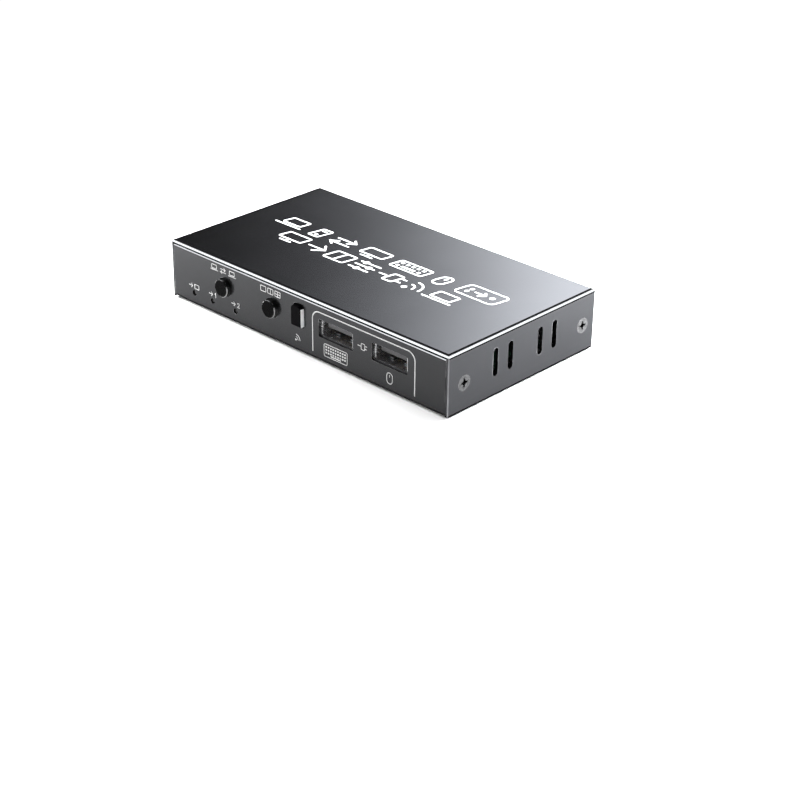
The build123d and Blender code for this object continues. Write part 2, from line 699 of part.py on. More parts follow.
def video_pins(count, z0):
    """One row of contact strips on a face of the tongue."""
    pins = []
    for index in range(count):
        x = (index - (count - 1) / 2) * VIDEO_PIN_PITCH
        pins.append(block(x - VIDEO_PIN_W / 2, x + VIDEO_PIN_W / 2, 2 * VIDEO_TONGUE_BACK, VIDEO_BLOCK_Y,
                          z0, z0 + VIDEO_PIN_T))
    return pins


def save_video(name, place):
    top = VIDEO_TONGUE_Z + VIDEO_TONGUE_T / 2
    under = VIDEO_TONGUE_Z - VIDEO_TONGUE_T / 2 - VIDEO_PIN_T
    pins = video_pins(VIDEO_PINS_TOP, top) + video_pins(VIDEO_PINS_UNDER, under)
    save(f"{name}_shell", place * video_shell())
    save(f"{name}_insert", place * video_insert())
    save(f"{name}_contacts", *[place * pin for pin in pins])


# ---------------------------------------------------------------- power jack

JACK_FACE_GAP = JACK_PROUD + TRAY_SHEET + SEAM     # mouth to the square body


def jack_body():
    """The moulded jack: round nose, square body and the bore for the plug."""
    half = JACK_W / 2
    body = block(-half, half, JACK_FACE_GAP, JACK_L, -JACK_Z, half)
    body += rod_y(JACK_NOSE_R, 0, JACK_FACE_GAP)
    body -= rod_y(JACK_BORE_R, -1, JACK_BORE_L)
    slot = JACK_SLOT_W / 2
    slot_z = -JACK_BORE_R - JACK_SLOT_T
    body -= block(-slot, slot, JACK_FACE_GAP, JACK_BORE_L, slot_z, -JACK_PIN_R)
    return body - rod_y(JACK_PIN_R + TOUCH, JACK_BORE_L - 1, JACK_BORE_L + JACK_PIN_ROOT + TOUCH)


def jack_pin():
    """The centre pin."""
    pin = rod_y(JACK_PIN_R, JACK_PIN_BACK, JACK_BORE_L + JACK_PIN_ROOT)
    return fillet(pin.edges().group_by(Axis.Y)[0], JACK_PIN_R / 2)


def jack_spring():
    """The leaf that presses on the plug's sleeve, lying in the bore's slot."""
    half = JACK_SPRING_W / 2
    low = -JACK_BORE_R - JACK_SLOT_T
    rise = JACK_SLOT_T - JACK_SPRING_T
    start = JACK_FACE_GAP + JACK_SPRING_T
    middle = (start + JACK_BORE_L) / 2
    under = [(start, low), (middle, low + rise), (JACK_BORE_L, low)]
    over = [(y, z + JACK_SPRING_T) for y, z in reversed(under)]
    leaf = make_face(Polyline(*under, *over, close=True))
    return Pos(-half, 0, 0) * extrude(Plane.YZ * leaf, JACK_SPRING_W)


# ---------------------------------------------------------------- parts on the board

def heat_sink():
    """A small finned cooler on the main chip."""
    z = BOARD_Z + MAIN_CHIP[2] + PAD[2]
    cooler = block_on(MAIN_CHIP_AT, SINK, z)
    pitch = (SINK[0] - FIN_T) / (FIN_COUNT - 1)
    for index in range(FIN_COUNT):
        x = MAIN_CHIP_AT[0] - SINK[0] / 2 + FIN_T / 2 + index * pitch
        cooler += block_on((x, MAIN_CHIP_AT[1]), (FIN_T, SINK[1], SINK[2] + FIN_H), z)
    return cooler


def coil(at):
    """A moulded power inductor with bevelled corners."""
    body = block_on(at, COIL, BOARD_Z)
    return chamfer(body.edges().filter_by(Axis.Z), COIL_EDGE)


def can(at):
    """An upright electrolytic capacitor."""
    body = rod_z(CAN_R, BOARD_Z, BOARD_Z + CAN_H, *at)
    return fillet(body.edges().group_by(Axis.Z)[-1], CAN_EDGE)


def chip_capacitors():
    """Rows of small ceramic capacitors on two sides of the main chip."""
    spots = []
    for index in range(CHIP_CAP_COUNT):
        along = (index - (CHIP_CAP_COUNT - 1) / 2) * CHIP_CAP_PITCH
        for side in (-1, 1):
            spots.append((MAIN_CHIP_AT[0] + along, MAIN_CHIP_AT[1] + side * CHIP_CAP_ROW))
    return [block_on(spot, CHIP_CAP, BOARD_Z) for spot in spots]


def save_case():
    save("cover", cover())
    save("chassis", chassis())
    save("cover_screws", *[cover_screw(side, y) for side in (-1, 1) for y in SCREW_YS])
    save("rubber_feet", *feet())
    save("main_board", main_board())
    save("standoffs", *[standoff(x, y) for x, y in standoff_spots()])
    save("board_screws", *[board_screw(x, y) for x, y in standoff_spots()])


def save_buttons():
    for name, x in BUTTON_X.items():
        save(f"{name}_button_cap", button_cap(x))
        save(f"{name}_button_stem", button_stem(x))
        save(f"{name}_tact_base", tact_base(x))
        save(f"{name}_tact_frame", tact_frame(x))
        save(f"{name}_tact_dome", tact_dome(x))


def save_front_parts():
    save("ir_window", ir_window())
    save("ir_receiver", ir_receiver())
    save("ir_leads", *ir_leads())
    save("status_led_lenses", *[led_lens(x) for x in LED_X])
    save("status_led_bodies", *[led_body(x) for x in LED_X])


def save_sockets():
    for name, x in USB_FRONT_X.items():
        save_usb(name, Pos(x, USB_FRONT_FACE_Y, USB_CENTRE_Z))
    for name, x in USB_REAR_X.items():
        save_usb(name, Pos(x, USB_REAR_FACE_Y, USB_CENTRE_Z) * Rot(0, 0, 180))
    for name, x in VIDEO_X.items():
        save_video(name, Pos(x, REAR_Y + VIDEO_PROUD, VIDEO_CENTRE_Z) * Rot(0, 0, 180))
    jack = Pos(JACK_X, REAR_Y + JACK_PROUD, JACK_CENTRE_Z) * Rot(0, 0, 180)
    save("dc_jack_body", jack * jack_body())
    save("dc_jack_pin", jack * jack_pin())
    save("dc_jack_spring", jack * jack_spring())


def save_board_parts():
    save("main_chip", block_on(MAIN_CHIP_AT, MAIN_CHIP, BOARD_Z))
    save("thermal_pad", block_on(MAIN_CHIP_AT, PAD, BOARD_Z + MAIN_CHIP[2]))
    save("heat_sink", heat_sink())
    save("video_chips", *[block_on(at, VIDEO_CHIP, BOARD_Z) for at in VIDEO_CHIP_AT])
    save("usb_hub_chip", block_on(HUB_CHIP_AT, HUB_CHIP, BOARD_Z))
    save("memory_chip", block_on(MEMORY_CHIP_AT, MEMORY_CHIP, BOARD_Z))
    save("crystals", *[block_on(at, CRYSTAL, BOARD_Z) for at in CRYSTAL_AT])
    save("power_inductors", *[coil(at) for at in COIL_AT])
    save("voltage_regulators", *[block_on(at, REGULATOR, BOARD_Z) for at in REGULATOR_AT])
    save("electrolytic_capacitors", *[can(at) for at in CAN_AT])
    save("chip_capacitors", *chip_capacitors())


os.makedirs("parts", exist_ok=True)
save_case()
save_buttons()
save_front_parts()
save_sockets()
save_board_parts()
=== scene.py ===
import json
from math import cos, pi, radians, sin

import bmesh
import bpy
from mathutils import Matrix, Vector


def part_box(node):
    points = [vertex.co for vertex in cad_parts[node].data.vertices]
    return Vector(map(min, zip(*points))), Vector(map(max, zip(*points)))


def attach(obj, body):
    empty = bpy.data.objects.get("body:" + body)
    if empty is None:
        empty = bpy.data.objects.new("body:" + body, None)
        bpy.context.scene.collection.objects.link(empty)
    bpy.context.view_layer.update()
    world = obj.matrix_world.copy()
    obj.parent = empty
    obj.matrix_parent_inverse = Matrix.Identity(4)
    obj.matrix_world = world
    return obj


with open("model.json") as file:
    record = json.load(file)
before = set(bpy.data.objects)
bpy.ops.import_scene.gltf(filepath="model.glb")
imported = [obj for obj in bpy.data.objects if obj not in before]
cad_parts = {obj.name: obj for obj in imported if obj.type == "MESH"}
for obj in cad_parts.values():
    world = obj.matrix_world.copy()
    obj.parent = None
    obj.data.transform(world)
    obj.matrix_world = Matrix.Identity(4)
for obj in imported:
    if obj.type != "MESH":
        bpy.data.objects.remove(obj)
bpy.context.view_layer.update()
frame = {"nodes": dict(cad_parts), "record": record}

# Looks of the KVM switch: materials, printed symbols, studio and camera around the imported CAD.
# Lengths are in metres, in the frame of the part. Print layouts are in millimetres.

MM = 0.001
BODY = "enclosure"

# Camera
CAMERA_PLACE = (0.3605, -0.3709, 0.2438)
CAMERA_AZIMUTH = 43.3595
CAMERA_ELEVATION = 27.7175
CAMERA_ROLL = 0.7238
CAMERA_LENS_MM = 81.33
CAMERA_SENSOR_MM = 36.0
CAMERA_NEAR = 0.01
CAMERA_FAR = 60.0

# Studio
FLOOR_HALF = 6.0
WHITE = (1.0, 1.0, 1.0, 1.0)
COOL_WHITE = (0.95, 0.975, 1.0, 1.0)
AMBIENT_LEVEL = 0.85
REFLECTED_LEVEL = 0.03
# Glows that polished and painted faces reflect:
# azimuth, elevation, inner angle and outer angle in degrees, falloff, radiance
GLOWS = (
    (202.0, 24.0, 14.5, 29.0, 4.0, 23.0),
    (-54.0, 40.0, 12.0, 30.0, 1.5, 1.7),
    (146.0, 39.0, 10.0, 26.0, 1.5, 1.7),
    (70.0, 12.0, 5.0, 16.0, 1.5, 5.0),
    (-85.0, 20.0, 5.0, 15.0, 1.5, 3.0),
)
# name, azimuth and elevation of the light in degrees, distance, width, height, radiance, colour
SOFT_LIGHTS = (
    ("top_softbox", 170.0, 78.0, 1.3, 1.0, 1.0, 1.5, (1.0, 1.0, 1.0)),
    ("left_softbox", -75.0, 25.0, 0.25, 0.16, 0.10, 30.0, (1.0, 1.0, 1.0)),
    ("rear_softbox", 150.0, 25.0, 0.25, 0.16, 0.10, 76.0, (0.97, 0.985, 1.0)),
)

# Shares of a face's normal along an axis: above the first it leans that way, and below the
# second, or above 1 less the second, it counts as square to the axes
BEVEL_SLOPE = 0.3
SQUARE_SLOPE = BEVEL_SLOPE / 3.0

# The bevels and the sheared edges lie within these distances of the sheet's top and ends
COVER_BEVEL_LOW = 0.0006
PANEL_BEVEL_LOW = 0.0004

# The bends at the bottom of the chassis end below this height. Faces there that look down are painted
# black: a painted contact shadow
UNDERSIDE_HIGH = 0.002

# Slots drawn darker than the record's plain colour, because the white studio shines in them
SHADES = {
    "cover_paint": 0.43, "tray_paint": 0.42, "screw_steel": 0.11, "button_gloss": 0.15,
    "dark_window": 0.15, "socket_moulding": 0.2,
    "shell_steel": 0.8, "clear_lens": 0.2, "board_laminate": 0.4,
}

# Painted shade: black lines along the edges of the sheets, standing in for the shade and dark
# reflections along the top edges and for the contact shadow at the foot
SHADE_LINE_WIDTH = 0.0014            # how far in from the front and the ends
SHADE_LINE_DEPTH = 0.0010            # height of the line at the top of the cover
BEVEL_SHADE_LINE = 0.00016           # height of the line on the cover's bevel
COVER_FOOT_SHADE = 0.0005           # heights of the lines at the foot
PANEL_FOOT_SHADE = 0.0009
SHADE_LINE_FADE = 0.00004
SHADE_LINE_DARKNESS = 0.06

# How the noise shows in a surface
CLOUD_DETAIL = 4.0
CLOUD_RANGE = (0.35, 0.65)
GRAIN_DETAIL = 3.0
GRAIN_ROUGHNESS = 0.6
GRAIN_RANGE = (0.30, 0.70)
GRAIN_TINT = 0.35
RELIEF_STRENGTH = 0.6

# Worn edges
EDGE_SAMPLES = 4
EDGE_TURN = (0.985, 0.80)     # cosines between the flat and the rounded normal, unworn and worn
PATCH_DETAIL = 3.0
PATCH_RANGE = (0.42, 0.62)
PATCH_LEAST = 0.15
PATCHES_PER_CLOUD = 6.0
WEAR_POLISH = 0.08

# Circuit board
TRACK_PITCH = 0.012
TRACK_WAVE = {"Distortion": 6.0, "Detail": 1.0, "Detail Scale": 1.4}
TRACK_EDGE = (0.55, 0.62)
TRACK_TINT = 1.9
MASK_TINT = 0.85
VIA_PITCH = 0.0035
VIA_SCATTER = 0.8
VIA_EDGE = (0.12, 0.09)
VIA_METAL = (0.75, 0.72, 0.62)
BOARD_GRAIN = 0.0004
BOARD_GRAIN_RANGE = (0.3, 0.7)
BOARD_GRAIN_HEIGHT = 0.2
BOARD_ROUGH = (0.22, 0.4)
BOARD_BUMP = 0.00003
BOARD_BUMP_STRENGTH = 0.5

# Prints
TOP_INK = 0.86
PANEL_INK = 0.48
INK_RAISE = 0.00003
INK_SINK = 0.00003
INK_STEP = 0.0000012          # crossing strokes lie at slightly different heights
INK_STEPS = 7
CURVE_STEPS = 6
DOT_STEPS = 20
CAP_STEPS = 5
MITRE_LEAST = 0.5

# Top print in millimetres: a row runs from left to right with its foot at bottom
TOP_SLANT = 0.18
TOP_HEIGHT = 7.0
TOP_WEIGHT = 0.68
UPPER_ROW = dict(left=-48.7, right=25.2, bottom=0.9)
LOWER_ROW = dict(left=-39.2, right=37.0, bottom=-8.2)
BADGE = dict(left=29.4, bottom=1.1, height=8.1, weight=0.62)
BADGE_OUTLINE = (0.10, 0.04, 1.98, 0.96, 0.2)
BADGE_ROW = dict(left=32.6, right=43.3, bottom=3.1, height=4.1, weight=0.66)

# Panel prints in millimetres
FRONT_WEIGHT = 0.22
REAR_WEIGHT = 0.26
FRAME_WEIGHT = 0.36
FRAME_LEFT_GAP = 2.65
FRAME_RIGHT_GAP = 3.0
FRAME_TOP_GAP = 1.7
FRAME_FOOT = 3.05
FRAME_BEND = 2.8
LENS_GAP = 2.0                # lenses are farther apart than this
LENS_LABEL = dict(bottom=6.1, height=1.7, gap=0.7)
OUT_LENS_SHIFT = -0.2
PLUG_LABEL = dict(bottom=10.2, height=2.6)
PLUG_SHIFT = 0.1
MOUSE_LABEL = dict(bottom=3.1, height=3.9)
MOUSE_SHIFT = 0.15
REAR_LABEL = dict(bottom=15.9, height=1.9, gap=0.7)
JACK_LABEL = dict(bottom=5.0, height=2.0)

# Key grid under the keyboard socket, in millimetres
GRID_WIDTH = 9.8
GRID_HEIGHT = 4.1
GRID_BOTTOM = 3.0
GRID_CORNER = 0.5
GRID_MARGIN = 0.4
GRID_ROWS = 3
GRID_KEYS = 9
KEY_SHARE = 0.62              # of the pitch
KEY_HEIGHT = 0.55
ROW_PITCH = 0.95
TOP_ROW_DROP = 1.15
SPACE_BAR = (0.28, 0.42, 0.72, 0.80)    # its ends in widths of the grid

# Floor card
FLOOR_SHADE = 0.86


# ---------------------------------------------------------------- shader nodes


def add(tree, kind, sockets=None, **settings):
    """A shader node with its settings, and its sockets linked or filled in."""
    node = tree.nodes.new("ShaderNode" + kind)
    for key, value in settings.items():
        setattr(node, key, value)
    for key, value in (sockets or {}).items():
        if isinstance(value, bpy.types.NodeSocket):
            tree.links.new(value, node.inputs[key])
        else:
            node.inputs[key].default_value = value
    return node


def start_material(name):
    """A new material, its node tree and its shader."""
    material = bpy.data.materials.new(name)
    material.use_nodes = True
    return material, material.node_tree, material.node_tree.nodes["Principled BSDF"]


def place_in_part(tree, stretch=(1.0, 1.0, 1.0)):
    """The point in the part's own frame, stretched along each axis."""
    point = add(tree, "TexCoord").outputs["Object"]
    return add(tree, "VectorMath", {0: point, 1: stretch}, operation="MULTIPLY").outputs[0]


def noise(tree, point, cell, detail=2.0, roughness=0.5):
    """Cloudy noise from 0 to 1 with cells of that size."""
    sockets = {"Vector": point, "Scale": 1.0 / cell, "Detail": detail, "Roughness": roughness}
    return add(tree, "TexNoise", sockets).outputs["Fac"]


def ranged(tree, value, low, high, to_low, to_high):
    """value taken from low..high to to_low..to_high, and held there."""
    sockets = {"Value": value, "From Min": low, "From Max": high, "To Min": to_low, "To Max": to_high}
    return add(tree, "MapRange", sockets).outputs["Result"]


def combined(tree, operation, first, second):
    """One number from two by that operation."""
    return add(tree, "Math", {0: first, 1: second}, operation=operation).outputs[0]


def mixed(tree, factor, first, second):
    """A colour between two colours."""
    node = add(tree, "Mix", data_type="RGBA")
    for index, value in ((0, factor), (6, first), (7, second)):
        if isinstance(value, bpy.types.NodeSocket):
            tree.links.new(value, node.inputs[index])
        elif index:
            node.inputs[index].default_value = (*value, 1.0)
        else:
            node.inputs[index].default_value = value
    return node.outputs[2]


def edge_wear(tree, radius, patch_cell, point):
    """1 on worn sharp edges and 0 elsewhere, broken up by patches."""
    rounded = add(tree, "Bevel", {"Radius": radius}, samples=EDGE_SAMPLES).outputs["Normal"]
    flat = add(tree, "NewGeometry").outputs["Normal"]
    turned = add(tree, "VectorMath", {0: rounded, 1: flat}, operation="DOT_PRODUCT").outputs["Value"]
    edge = ranged(tree, turned, *EDGE_TURN, 0.0, 1.0)
    patches = noise(tree, point, patch_cell, PATCH_DETAIL)
    patch = ranged(tree, patches, *PATCH_RANGE, PATCH_LEAST, 1.0)
    return combined(tree, "MULTIPLY", edge, patch)


def painted_shade_lines(tree, point, low, high, depth, foot):
    """1 in the painted shade lines round a sheet's front and ends: depth below its top, foot above its
    base.
    """
    across, along, height = add(tree, "SeparateXYZ", {0: point}).outputs
    across = combined(tree, "ABSOLUTE", across, 0.0)
    beside = (
        ranged(tree, across, high.x - SHADE_LINE_WIDTH, high.x - SHADE_LINE_WIDTH + SHADE_LINE_FADE, 0.0, 1.0),
        ranged(tree, along, low.y + SHADE_LINE_WIDTH, low.y + SHADE_LINE_WIDTH - SHADE_LINE_FADE, 0.0, 1.0),
    )
    top = ranged(tree, height, high.z - depth, high.z - depth + SHADE_LINE_FADE, 0.0, 1.0)
    bottom = ranged(tree, height, low.z + foot + SHADE_LINE_FADE, low.z + foot, 0.0, 1.0)
    outside = combined(tree, "MAXIMUM", *beside)
    return combined(tree, "MULTIPLY", outside, combined(tree, "MAXIMUM", top, bottom))


def scaled(colour, factor):
    """The colour made lighter or darker."""
    return tuple(min(1.0, channel * factor) for channel in colour)


def grainy_colour(tree, clouds, grains, colour, tone):
    """The colour with clouds of tone, flecked paler by the grain."""
    shade = ranged(tree, clouds, *CLOUD_RANGE, 0.0, 1.0)
    base = mixed(tree, shade, scaled(colour, 1.0 - tone), scaled(colour, 1.0 + tone))
    speck = ranged(tree, grains, *GRAIN_RANGE, 0.0, GRAIN_TINT)
    return mixed(tree, speck, base, scaled(colour, 1.0 + 2.0 * tone))


def surface(
    name,
    colour,
    metallic=0.0,
    rough=(0.4, 0.5),
    tone=0.12,
    cloud=0.012,
    grain=0.0003,
    bump=0.00001,
    stretch=(1.0, 1.0, 1.0),
    wear=None,
    wear_radius=0.0002,
    rim=None,
    **constants,
):
    """A surface with cloudy colour, and fine grain in its roughness and relief.

    wear is the colour of its worn edges; the last argument before the constants holds the box, depth and
    foot of its black lines of painted shade.
    """
    material, tree, shader = start_material(name)
    point = place_in_part(tree)
    clouds = noise(tree, point, cloud, CLOUD_DETAIL)
    grains = noise(tree, place_in_part(tree, stretch), grain, GRAIN_DETAIL, GRAIN_ROUGHNESS)
    base = grainy_colour(tree, clouds, grains, colour, tone)
    halves = [combined(tree, "MULTIPLY", pattern, 0.5) for pattern in (clouds, grains)]
    gloss = ranged(tree, combined(tree, "ADD", *halves), *CLOUD_RANGE, *rough)
    if wear is not None:
        worn = edge_wear(tree, wear_radius, cloud / PATCHES_PER_CLOUD, point)
        base = mixed(tree, worn, base, wear)
        gloss = combined(tree, "SUBTRACT", gloss, combined(tree, "MULTIPLY", worn, WEAR_POLISH))
    # Painted shade: black lines along the sheet's edges, without the metal's sheen
    if rim is not None:
        shade_mask = painted_shade_lines(tree, point, *rim)
        base = mixed(tree, shade_mask, base, scaled(colour, SHADE_LINE_DARKNESS))
        tree.links.new(ranged(tree, shade_mask, 0.0, 1.0, metallic, 0.0), shader.inputs["Metallic"])
    relief = add(tree, "Bump", {"Height": grains, "Distance": bump, "Strength": RELIEF_STRENGTH})
    tree.links.new(base, shader.inputs["Base Color"])
    tree.links.new(gloss, shader.inputs["Roughness"])
    tree.links.new(relief.outputs["Normal"], shader.inputs["Normal"])
    shader.inputs["Metallic"].default_value = metallic
    for socket, value in constants.items():
        shader.inputs[socket.replace("_", " ")].default_value = value
    return material


def board_material(name, colour):
    """Solder mask over raised tracks, dotted with bare metal."""
    material, tree, shader = start_material(name)
    point = place_in_part(tree)
    fine = noise(tree, point, BOARD_GRAIN)
    bands = {"Vector": point, "Scale": 1.0 / TRACK_PITCH, **TRACK_WAVE}
    waves = add(tree, "TexWave", bands, wave_type="BANDS", bands_direction="DIAGONAL").outputs["Fac"]
    track = ranged(tree, waves, *TRACK_EDGE, 0.0, 1.0)
    dots = {"Vector": point, "Scale": 1.0 / VIA_PITCH, "Randomness": VIA_SCATTER}
    via = ranged(tree, add(tree, "TexVoronoi", dots).outputs["Distance"], *VIA_EDGE, 0.0, 1.0)
    mask = mixed(tree, track, scaled(colour, MASK_TINT), scaled(colour, TRACK_TINT))
    base = mixed(tree, via, mask, VIA_METAL)
    height = combined(tree, "ADD", track, combined(tree, "MULTIPLY", fine, BOARD_GRAIN_HEIGHT))
    bumps = {"Height": height, "Distance": BOARD_BUMP, "Strength": BOARD_BUMP_STRENGTH}
    relief = add(tree, "Bump", bumps)
    tree.links.new(base, shader.inputs["Base Color"])
    tree.links.new(via, shader.inputs["Metallic"])
    rough = ranged(tree, fine, *BOARD_GRAIN_RANGE, *BOARD_ROUGH)
    tree.links.new(rough, shader.inputs["Roughness"])
    tree.links.new(relief.outputs["Normal"], shader.inputs["Normal"])
    return material


# A painted face shines less at a glancing angle than polished metal does
DULL_EDGE = (0.5, 0.5, 0.5, 1.0)

# How each material slot of the record is finished, apart from its colour
FINISHES = {
    "cover_paint": dict(metallic=0.95, rough=(0.17, 0.22), tone=0.05, cloud=0.03, grain=0.00035,
                        bump=0.000002, wear=(0.45, 0.45, 0.46), wear_radius=0.00022,
                        Specular_IOR_Level=0.0, Specular_Tint=DULL_EDGE),
    "tray_paint": dict(metallic=0.95, rough=(0.20, 0.26), tone=0.05, cloud=0.03, grain=0.00035,
                       bump=0.000002, wear=(0.40, 0.40, 0.41), wear_radius=0.00016,
                       Specular_IOR_Level=0.0, Specular_Tint=DULL_EDGE),
    "screw_steel": dict(metallic=1.0, rough=(0.22, 0.40), tone=0.45, cloud=0.0007, grain=0.00025,
                        bump=0.00002),
    "foot_rubber": dict(rough=(0.75, 0.9), tone=0.2, cloud=0.004, grain=0.0004, bump=0.00003),
    "nickel_brass": dict(metallic=1.0, rough=(0.22, 0.36), tone=0.1, cloud=0.003, grain=0.0002,
                         bump=0.000006),
    "dark_window": dict(rough=(0.04, 0.10), tone=0.25, cloud=0.003, grain=0.0006, bump=0.000001,
                        Specular_IOR_Level=0.015),
    "chip_epoxy": dict(rough=(0.5, 0.7), tone=0.2, cloud=0.004, grain=0.00025, bump=0.000012),
    "tin_plate": dict(metallic=1.0, rough=(0.3, 0.45), tone=0.1, cloud=0.003, grain=0.0003,
                      bump=0.000008),
    "clear_lens": dict(rough=(0.08, 0.16), tone=0.2, cloud=0.001, grain=0.0004, bump=0.000001,
                       Specular_IOR_Level=0.2),
    "black_moulding": dict(rough=(0.42, 0.58), tone=0.2, cloud=0.003, grain=0.0002, bump=0.00001),
    "shell_steel": dict(metallic=0.9, rough=(0.12, 0.28), tone=0.25, cloud=0.0018, grain=0.0004,
                        bump=0.000006, stretch=(0.25, 1.0, 1.0)),
    "contact_metal": dict(metallic=1.0, rough=(0.16, 0.28), tone=0.1, cloud=0.002, grain=0.0003,
                          bump=0.000004, stretch=(1.0, 0.2, 1.0)),
    "pad_silicone": dict(rough=(0.7, 0.85), tone=0.1, cloud=0.004, grain=0.0003, bump=0.00002),
    "sink_aluminium": dict(metallic=0.9, rough=(0.3, 0.45), tone=0.12, cloud=0.006, grain=0.0003,
                           bump=0.00001, stretch=(1.0, 0.15, 1.0)),
    "coil_ferrite": dict(rough=(0.6, 0.8), tone=0.25, cloud=0.002, grain=0.00025, bump=0.00003),
    "can_aluminium": dict(metallic=1.0, rough=(0.22, 0.34), tone=0.1, cloud=0.003, grain=0.0003,
                          bump=0.000006),
    "ceramic_tan": dict(rough=(0.35, 0.5), tone=0.2, cloud=0.001, grain=0.0002, bump=0.000008),
    "button_gloss": dict(rough=(0.08, 0.16), tone=0.3, cloud=0.002, grain=0.0004, bump=0.0000015,
                         Specular_IOR_Level=0.015),
    "socket_moulding": dict(rough=(0.4, 0.55), tone=0.1, cloud=0.003, grain=0.0002, bump=0.00001),
}

# Finishes of the bevels, edges and walls that differ from the rest of their node. Two are painted light:
# a painted contact shadow under the chassis and a painted highlight on the window's sides
FACE_FINISHES = {
    "bare_bevel": dict(colour=(0.72, 0.73, 0.74), metallic=1.0, rough=(0.14, 0.22), tone=0.05,
                       cloud=0.004, grain=0.0002, bump=0.000003, Specular_IOR_Level=0.0),
    "panel_bevel": dict(colour=(0.56, 0.56, 0.57), metallic=1.0, rough=(0.14, 0.22), tone=0.05,
                        cloud=0.004, grain=0.0002, bump=0.000003),
    # Painted shadow: matt black on the bends under the chassis, where the contact shadow falls
    "underside_painted_shadow": dict(colour=(0.012, 0.012, 0.013), rough=(0.8, 0.95), tone=0.2, cloud=0.01,
                           grain=0.0004, bump=0.00001, Specular_IOR_Level=0.1),
    "sheared_edge": dict(colour=(0.11, 0.11, 0.115), metallic=0.9, rough=(0.35, 0.5), tone=0.15,
                         cloud=0.002, grain=0.0002, bump=0.000006),
    # Painted highlight: near white on the window's sides, where their sheen shows
    "window_painted_highlight": dict(colour=(0.95, 0.95, 0.95), rough=(0.1, 0.2), tone=0.1, cloud=0.002,
                        grain=0.0002, bump=0.000002),
    "button_wall": dict(colour=(0.002, 0.002, 0.002), rough=(0.10, 0.18), tone=0.3, cloud=0.002,
                        grain=0.0004, bump=0.000002, Coat_Weight=1.0, Coat_Roughness=0.08,
                        Coat_IOR=2.2),
}


def build_materials():
    """One material for each slot of the record."""
    made = {}
    # Where the two sheets get black lines of painted shade: box, depth below the top and height of the
    # foot
    painted_shade_boxes = {
        "cover_paint": (*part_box("cover"), SHADE_LINE_DEPTH, COVER_FOOT_SHADE),
        "tray_paint": (*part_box("chassis"), 0.0, PANEL_FOOT_SHADE),
    }
    for entry in frame["record"]["materials"]:
        slot = entry["slot"]
        colour = scaled(entry["base_color"][:3], SHADES.get(slot, 1.0))
        if slot == "board_laminate":
            made[slot] = board_material(slot, colour)
        else:
            made[slot] = surface("looks_" + slot, colour, rim=painted_shade_boxes.get(slot), **FINISHES[slot])
    return made


def dress_nodes(materials):
    """Gives every CAD node the material of its slot in the record."""
    for entry in frame["record"]["subparts"]:
        node = frame["nodes"][entry["node"]]
        node.data.materials.clear()
        node.data.materials.append(materials[entry["material_slot"]])


def coat_faces(name, material, chosen):
    """Gives the material to those faces of a CAD node that are chosen."""
    mesh = frame["nodes"][name].data
    mesh.materials.append(material)
    for face in mesh.polygons:
        if chosen(face.normal, face.center):
            face.material_index = len(mesh.materials) - 1


def polish_bevels(name, lowest, metal):
    """The outer bevels round the top of that sheet get the bare metal."""

    def is_bevel(normal, centre):
        sideways = max(abs(normal.x), abs(normal.y)) > BEVEL_SLOPE
        upwards = BEVEL_SLOPE < normal.z < 1.0 - SQUARE_SLOPE
        return sideways and upwards and centre.z > lowest

    coat_faces(name, metal, is_bevel)


def bare_corners(name, metal):
    """The upright edges at the ends of the side flanges are sheared bare."""
    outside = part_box(name)[1].x - COVER_BEVEL_LOW

    def is_corner(normal, centre):
        oblique = min(abs(normal.x), abs(normal.y)) > BEVEL_SLOPE
        upright = abs(normal.z) < SQUARE_SLOPE
        return oblique and upright and abs(centre.x) > outside

    coat_faces(name, metal, is_corner)


def paint_underside_shadow(name, material):
    """The underside and the bends down to it are painted matt black, a painted contact shadow."""

    def is_under(normal, centre):
        return normal.z < -BEVEL_SLOPE and centre.z < UNDERSIDE_HIGH

    coat_faces(name, material, is_under)


def paint_side_highlight(name, material):
    """The upright side edges of that piece are painted near white, a painted highlight."""

    def is_side(normal, _):
        return abs(normal.x) > 1.0 - SQUARE_SLOPE

    coat_faces(name, material, is_side)


def gloss_walls(name, material):
    """The round wall of a button is glossier than its face."""

    def is_wall(normal, _):
        return abs(normal.y) < 1.0 - SQUARE_SLOPE

    coat_faces(name, material, is_wall)


# ---------------------------------------------------------------------- prints


def arc_points(centre, radius, start, end, steps):
    """Points on an arc, from start to end in degrees."""
    turns = [radians(start + (end - start) * i / steps) for i in range(steps + 1)]
    return [centre + radius * Vector((cos(turn), sin(turn))) for turn in turns]


def rounded_box(u0, v0, u1, v1, radius):
    """The corner points of a rounded rectangle, anticlockwise."""
    corners = (
        (u1 - radius, v0 + radius, 270.0),
        (u1 - radius, v1 - radius, 0.0),
        (u0 + radius, v1 - radius, 90.0),
        (u0 + radius, v0 + radius, 180.0),
    )
    points = []
    for u, v, start in corners:
        points += arc_points(Vector((u, v)), radius, start, start + 90.0, CURVE_STEPS)
    return points


def offset_line(points, distance, closed):
    """The line moved sideways, mitred at its corners."""
    moved = []
    for index, point in enumerate(points):
        sides = []
        if closed or index:
            sides.append(point - points[index - 1])
        if closed or index < len(points) - 1:
            sides.append(points[(index + 1) % len(points)] - point)
        normals = [Vector((-side.y, side.x)).normalized() for side in sides]
        mitre = sum(normals, Vector((0.0, 0.0))).normalized()
        moved.append(point + mitre * distance / max(MITRE_LEAST, mitre.dot(normals[0])))
    return moved


